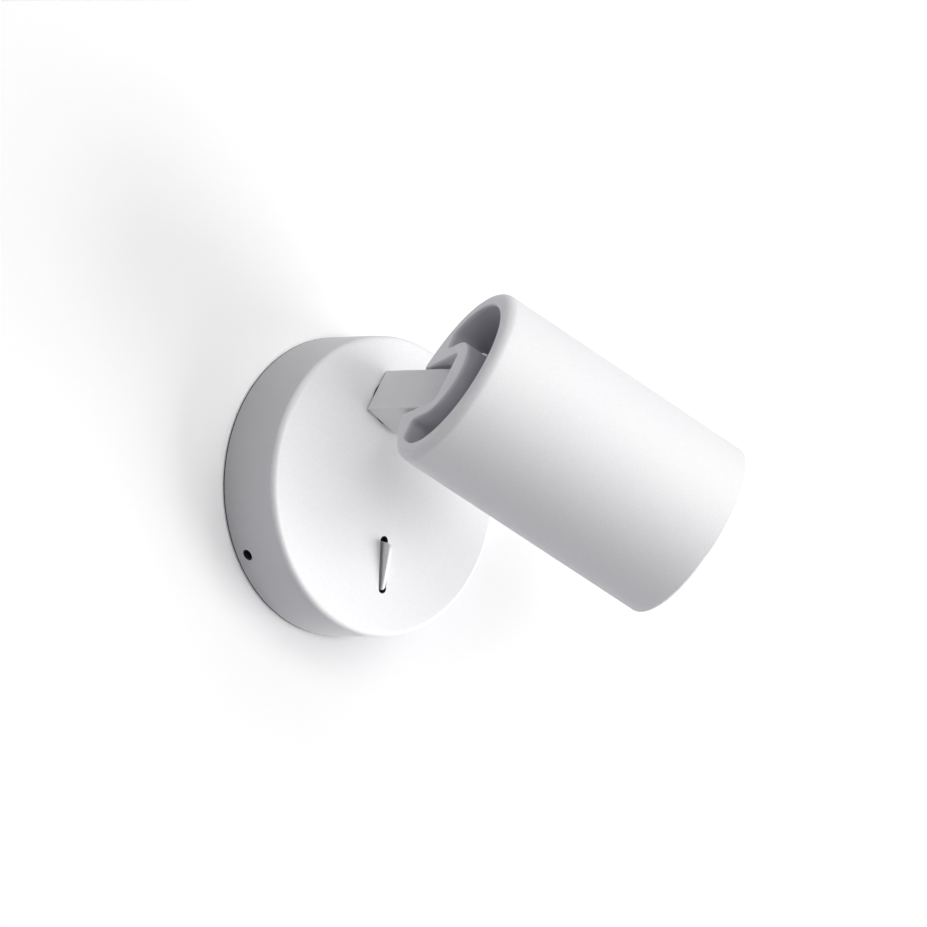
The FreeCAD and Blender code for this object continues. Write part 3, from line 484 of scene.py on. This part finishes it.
def frosted_lens(name, code, frost_mm):
    """Clear plastic whose frosted skin scatters what is behind it."""
    material, tree = new_finish(name)
    place = add(tree, "ShaderNodeTexCoord").outputs["Object"]
    frost = noise(tree, place, frost_mm, 2.0)
    bump = add(tree, "ShaderNodeBump", {"Height": frost, "Strength": 0.2, "Distance": 0.02 * MM})
    return close_finish(material, tree, {
        "Base Color": linear(code), "Roughness": spread(tree, frost, 0.0, 1.0, 0.28, 0.42),
        "IOR": 1.585, "Transmission Weight": 0.9, "Normal": bump.outputs[0]})


steatite = speckled("steatite_ceramic", "#E8E2D2", "#CFC6B2", 0.28, 1.55, 1.4)
lamp_shell = speckled("coated_lamp_shell", "#E4E4E2", "#DADAD8", 0.40, 1.5, 0.8)
lens_plastic = frosted_lens("frosted_polycarbonate", "#F7F8F8", 0.3)
phosphor = speckled("yellow_phosphor", "#D98F12", "#EDC23A", 0.35, 1.45, 1.1)

# %% Finishes on the construction's own nodes
finishes = {
    "white_steel": coating, "white_aluminium": coating, "zinc_steel": zinc, "brass": brass,
    "black_steel": blacked, "white_plastic": nylon, "black_plastic": pbt,
    "black_rubber": rubber, "ceramic": steatite, "lamp_shell": lamp_shell,
    "lamp_glass": lens_plastic, "led": phosphor,
}
for part in frame["record"]["subparts"]:
    obj = nodes[part["node"]]
    finish = coatings_with_painted_shade.get(part["node"], finishes[part["material_slot"]])
    for slot in obj.material_slots:
        slot.material = finish
    if not obj.material_slots:
        obj.data.materials.append(finish)
print("finished", len(nodes), "nodes with", len({*finishes.values(), *coatings_with_painted_shade.values()}),
      "finishes")

# %% [markdown]
# ## Helpers for the new pieces
# Each new piece is modelled upright at the origin of a working frame, then carried to its place,
# and its place is written into its mesh.

# %% Helpers for edit mode
def choose(piece, kind, test):
    """In edit mode, select only the faces, edges or verts that pass the test."""
    bpy.ops.mesh.select_mode(type={"faces": "FACE", "edges": "EDGE", "verts": "VERT"}[kind])
    bpy.ops.mesh.select_all(action="DESELECT")
    mesh = bmesh.from_edit_mesh(piece.data)
    for item in getattr(mesh, kind):
        if test(item):
            item.select_set(True)
    mesh.select_flush_mode()
    bmesh.update_edit_mesh(piece.data)


def draw_round(profile):
    """Extrude the selected circle from point to point of a (radius, height) profile in mm."""
    for (r0, z0), (r1, z1) in zip(profile, profile[1:]):
        bpy.ops.mesh.extrude_region_move(TRANSFORM_OT_translate={"value": (0, 0, (z1 - z0) * MM)})
        bpy.ops.transform.resize(value=(r1 / r0, r1 / r0, 1), center_override=(0, 0, z1 * MM))


def choose_rim(piece, height):
    """Select the open edges that lie at a height, in mm."""
    choose(piece, "edges", lambda e: e.is_boundary
           and all(abs(v.co.z - height * MM) < 0.001 * MM for v in e.verts))


def cap_end(piece, height):
    """Fill the open round edge that lies at a height, in mm."""
    choose_rim(piece, height)
    bpy.ops.mesh.edge_face_add()


def close_up(angle=30):
    """Merge doubles, turn the faces outwards and leave edit mode with soft shading."""
    bpy.ops.mesh.select_all(action="SELECT")
    bpy.ops.mesh.remove_doubles(threshold=0.002 * MM)
    bpy.ops.mesh.normals_make_consistent(inside=False)
    bpy.ops.object.mode_set(mode="OBJECT")
    bpy.ops.object.shade_smooth_by_angle(angle=radians(angle))


def put(piece, matrix, body, finish, slot, *replaced):
    """Carry a piece to its place, give it its finish and let it ride on its body."""
    bpy.ops.object.select_all(action="DESELECT")
    piece.select_set(True)
    bpy.context.view_layer.objects.active = piece
    piece.matrix_world = matrix
    bpy.ops.object.transform_apply(location=True, rotation=True, scale=True)
    piece.data.materials.clear()
    piece.data.materials.append(finish)
    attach(piece, body)
    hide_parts(*replaced)
    print(piece.name, len(piece.data.polygons), "faces on", body)
    return piece


# %% [markdown]
# ## Switch lever
# The lever is a thin moulded blade on a pin. It is a block with its two outer corners rounded
# well and every other edge eased, so that its front edge catches the light as a thin line. The
# pin is a short round bar through it.

# %% Switch lever
LEVER_THICKNESS, LEVER_WIDTH = 1.5, 17.3
LEVER_RISE, LEVER_ROOT = 4.87, -1.5    # outer and inner edge from the axle
LEVER_CORNER_R, LEVER_EDGE_R = 1.6, 0.28
PIN_R, PIN_LENGTH = 0.9, 8.4
lever = fresh("switch_lever_blade", bpy.ops.mesh.primitive_cube_add, size=1,
              location=(0, 0, (LEVER_RISE + LEVER_ROOT) / 2 * MM))
lever.scale = Vector((LEVER_THICKNESS, LEVER_WIDTH, LEVER_RISE - LEVER_ROOT)) * MM
bpy.ops.object.transform_apply(location=True, scale=True)
bpy.ops.object.mode_set(mode="EDIT")
choose(lever, "edges", lambda e: abs(e.verts[0].co.x - e.verts[1].co.x) > MM
       and e.verts[0].co.z > (LEVER_RISE - 1) * MM)
bpy.ops.mesh.bevel(offset=LEVER_CORNER_R * MM, segments=8, affect="EDGES")
choose(lever, "edges", lambda e: len(e.link_faces) == 2 and e.calc_face_angle() > radians(60))
bpy.ops.mesh.bevel(offset=LEVER_EDGE_R * MM, segments=3, affect="EDGES")
bpy.ops.mesh.primitive_cylinder_add(vertices=32, radius=PIN_R * MM, depth=PIN_LENGTH * MM,
                                    rotation=(0, pi / 2, 0))
bpy.ops.mesh.normals_make_consistent(inside=False)
bpy.ops.object.mode_set(mode="OBJECT")
bpy.ops.object.shade_smooth_by_angle(angle=radians(30))
put(lever, lever_frame, "switch_lever", abs_lever, "white_plastic", "switch_lever")

# %% [markdown]
# ## Socket screws
# The side screws that lock the cover and the shoulder screws of the tilt joint have hexagon
# sockets. A round edge is drawn along the outline of the screw, a six-sided edge down into the
# socket, and the two rims are bridged.

# %% Socket screws
def round_piece(name, profile, segments=96):
    """Draw a circle along a (radius, height) profile in mm, and stay in edit mode."""
    piece = fresh(name, bpy.ops.mesh.primitive_circle_add, vertices=segments,
                  radius=profile[0][0] * MM, location=(0, 0, 0))
    bpy.ops.object.mode_set(mode="EDIT")
    bpy.ops.mesh.select_mode(type="EDGE")
    bpy.ops.transform.translate(value=(0, 0, profile[0][1] * MM))
    draw_round(profile)
    return piece


def socket_screw(name, profile, across, depth):
    """A turned screw along z with a hexagon socket in its last end; sizes in mm."""
    top = profile[-1][1]
    piece = round_piece(name, profile, 48)
    bpy.ops.mesh.primitive_circle_add(vertices=6, radius=across / sqrt(3) * MM)
    bpy.ops.transform.translate(value=(0, 0, top * MM))
    bpy.ops.mesh.extrude_region_move(TRANSFORM_OT_translate={"value": (0, 0, -depth * MM)})
    bpy.ops.mesh.edge_face_add()
    choose_rim(piece, top)
    bpy.ops.mesh.bridge_edge_loops()
    cap_end(piece, profile[0][1])
    close_up(35)
    return piece


# The heights in these two profiles are distances from the axis of the cover and of the arm.
grub_profile = [(1.2, 47.3), (1.2, 49.3), (1.9, 49.3), (2.0, 49.5), (2.0, 53.2), (1.8, 53.4)]
for side, angle in SET_SCREW_ANGLES:
    screw = socket_screw("grub_screw_" + side, grub_profile, across=1.9, depth=2.2)
    matrix = (wall_frame @ Matrix.Rotation(radians(angle), 4, "Z")
              @ shift(0, 0, SET_SCREW_HEIGHT) @ Matrix.Rotation(pi / 2, 4, "Y"))
    put(screw, matrix, "wall_base", blacked, "black_steel", "cover_grub_screws")

tilt_profile = [(2.3, 4.3), (2.5, 4.5), (2.5, 6.5), (3.0, 6.5), (3.0, 16.1), (4.0, 16.1),
                (4.2, 16.3), (4.2, 18.2), (3.8, 18.6)]
SIDES = (("upper", -pi / 2), ("lower", pi / 2))
for side, turn in SIDES:
    screw = socket_screw("tilt_screw_" + side, tilt_profile, across=3.0, depth=1.5)
    matrix = axle_frame @ Matrix.Rotation(turn, 4, "X")
    put(screw, matrix, "arm", zinc, "zinc_steel", "tilt_screws")

# %% [markdown]
# ## Split spring washers
# Under the head of each shoulder screw lies a split washer, which keeps the joint stiff. A small
# rectangle is spun a little less than a full turn, and rises a little on its way.

# %% Split spring washers
def split_washer(name, inner, outer, thickness, rise):
    """A rectangle spun through 348 degrees about z; sizes in mm."""
    piece = fresh(name, bpy.ops.mesh.primitive_plane_add, size=1, rotation=(pi / 2, 0, 0),
                  location=((inner + outer) / 2 * MM, 0, thickness / 2 * MM))
    piece.scale = ((outer - inner) * MM, thickness * MM, 1)
    bpy.ops.object.transform_apply(location=True, rotation=True, scale=True)
    bpy.ops.object.mode_set(mode="EDIT")
    choose(piece, "edges", lambda e: True)
    bpy.ops.mesh.bevel(offset=0.1 * MM, segments=2, affect="VERTICES")
    bpy.ops.mesh.select_all(action="SELECT")
    bpy.ops.mesh.spin(steps=56, angle=radians(348), center=(0, 0, 0), axis=(0, 0, 1))
    close_up(40)
    for vertex in piece.data.vertices:
        turn = (atan2(vertex.co.y, vertex.co.x) % (2 * pi)) / (2 * pi)
        vertex.co.z += rise * MM * turn
    return piece


WASHER_SEAT = 15.3         # from the axis of the arm
for side, turn in SIDES:
    washer = split_washer("split_washer_" + side, inner=3.1, outer=4.2, thickness=0.6, rise=0.2)
    matrix = axle_frame @ Matrix.Rotation(turn, 4, "X") @ shift(0, 0, WASHER_SEAT)
    put(washer, matrix, "arm", zinc, "zinc_steel", "tilt_spring_washers")

# %% [markdown]
# ## Front of the lamp
# A reflector lamp closes with a pressed plastic lens. Its fine concentric steps spread the light
# and give the lens its look, so they are drawn as real steps in the profile. The ring in front
# holds the lamp. Its flare is turned in steps, which catch the glare of the lamp.

# %% Lens and stepped ring
LAMP_END = 96.0            # from the rear face of the head
RING_STEPS = 4
MIDDLE_R, LENS_R, FLANGE_R = 1.0, 22.6, 23.4       # of the lens
ring_pitch, first_ring, last_ring = 1.6, 3.0, 20.6

flange_back, lens_back, lens_face = LAMP_END - 2.0, LAMP_END - 1.6, LAMP_END - 0.1
lens_profile = [(MIDDLE_R, lens_back), (LENS_R, lens_back), (LENS_R, flange_back),
                (FLANGE_R, flange_back), (FLANGE_R, LAMP_END - 0.3),
                (FLANGE_R - 0.2, lens_face), (LENS_R - 0.2, lens_face)]
ring_count = round((last_ring - first_ring) / ring_pitch)
for i in range(ring_count + 1):
    r = last_ring - i * ring_pitch
    lens_profile += [(r + 1.1, LAMP_END - 0.15), (r + 0.9, LAMP_END - 0.55), (r, LAMP_END - 0.15)]
lens_profile.append((MIDDLE_R, lens_face))
lens = round_piece("lamp_front_lens", lens_profile)
cap_end(lens, lens_back)
cap_end(lens, lens_face)
close_up(25)
put(lens, head_frame, "head", lens_plastic, "lamp_glass", "lamp_lens")

outer, mouth, bore, front = 32.4, 30.5, 24.0, LAMP_END + 8.0
step_r, step_z = (mouth - bore) / RING_STEPS, (front - LAMP_END) / RING_STEPS
ring_profile = [(outer - 0.2, LAMP_END), (outer, LAMP_END + 0.2), (outer, front - 0.3),
                (outer - 0.3, front), (mouth + 0.15, front), (mouth, front - 0.15)]
for i in range(RING_STEPS):
    r, z = mouth - i * step_r, front - (i + 1) * step_z
    ring_profile += [(r, z + 0.15), (r - 0.15, z)]
    if i < RING_STEPS - 1:
        ring_profile += [(r - step_r + 0.15, z), (r - step_r, z - 0.15)]
ring_profile += [(bore + 0.15, LAMP_END), (outer - 0.2, LAMP_END)]
ring = round_piece("stepped_front_ring", ring_profile)
close_up(25)
put(ring, head_frame, "head", coating, "white_aluminium", "lamp_front_ring")
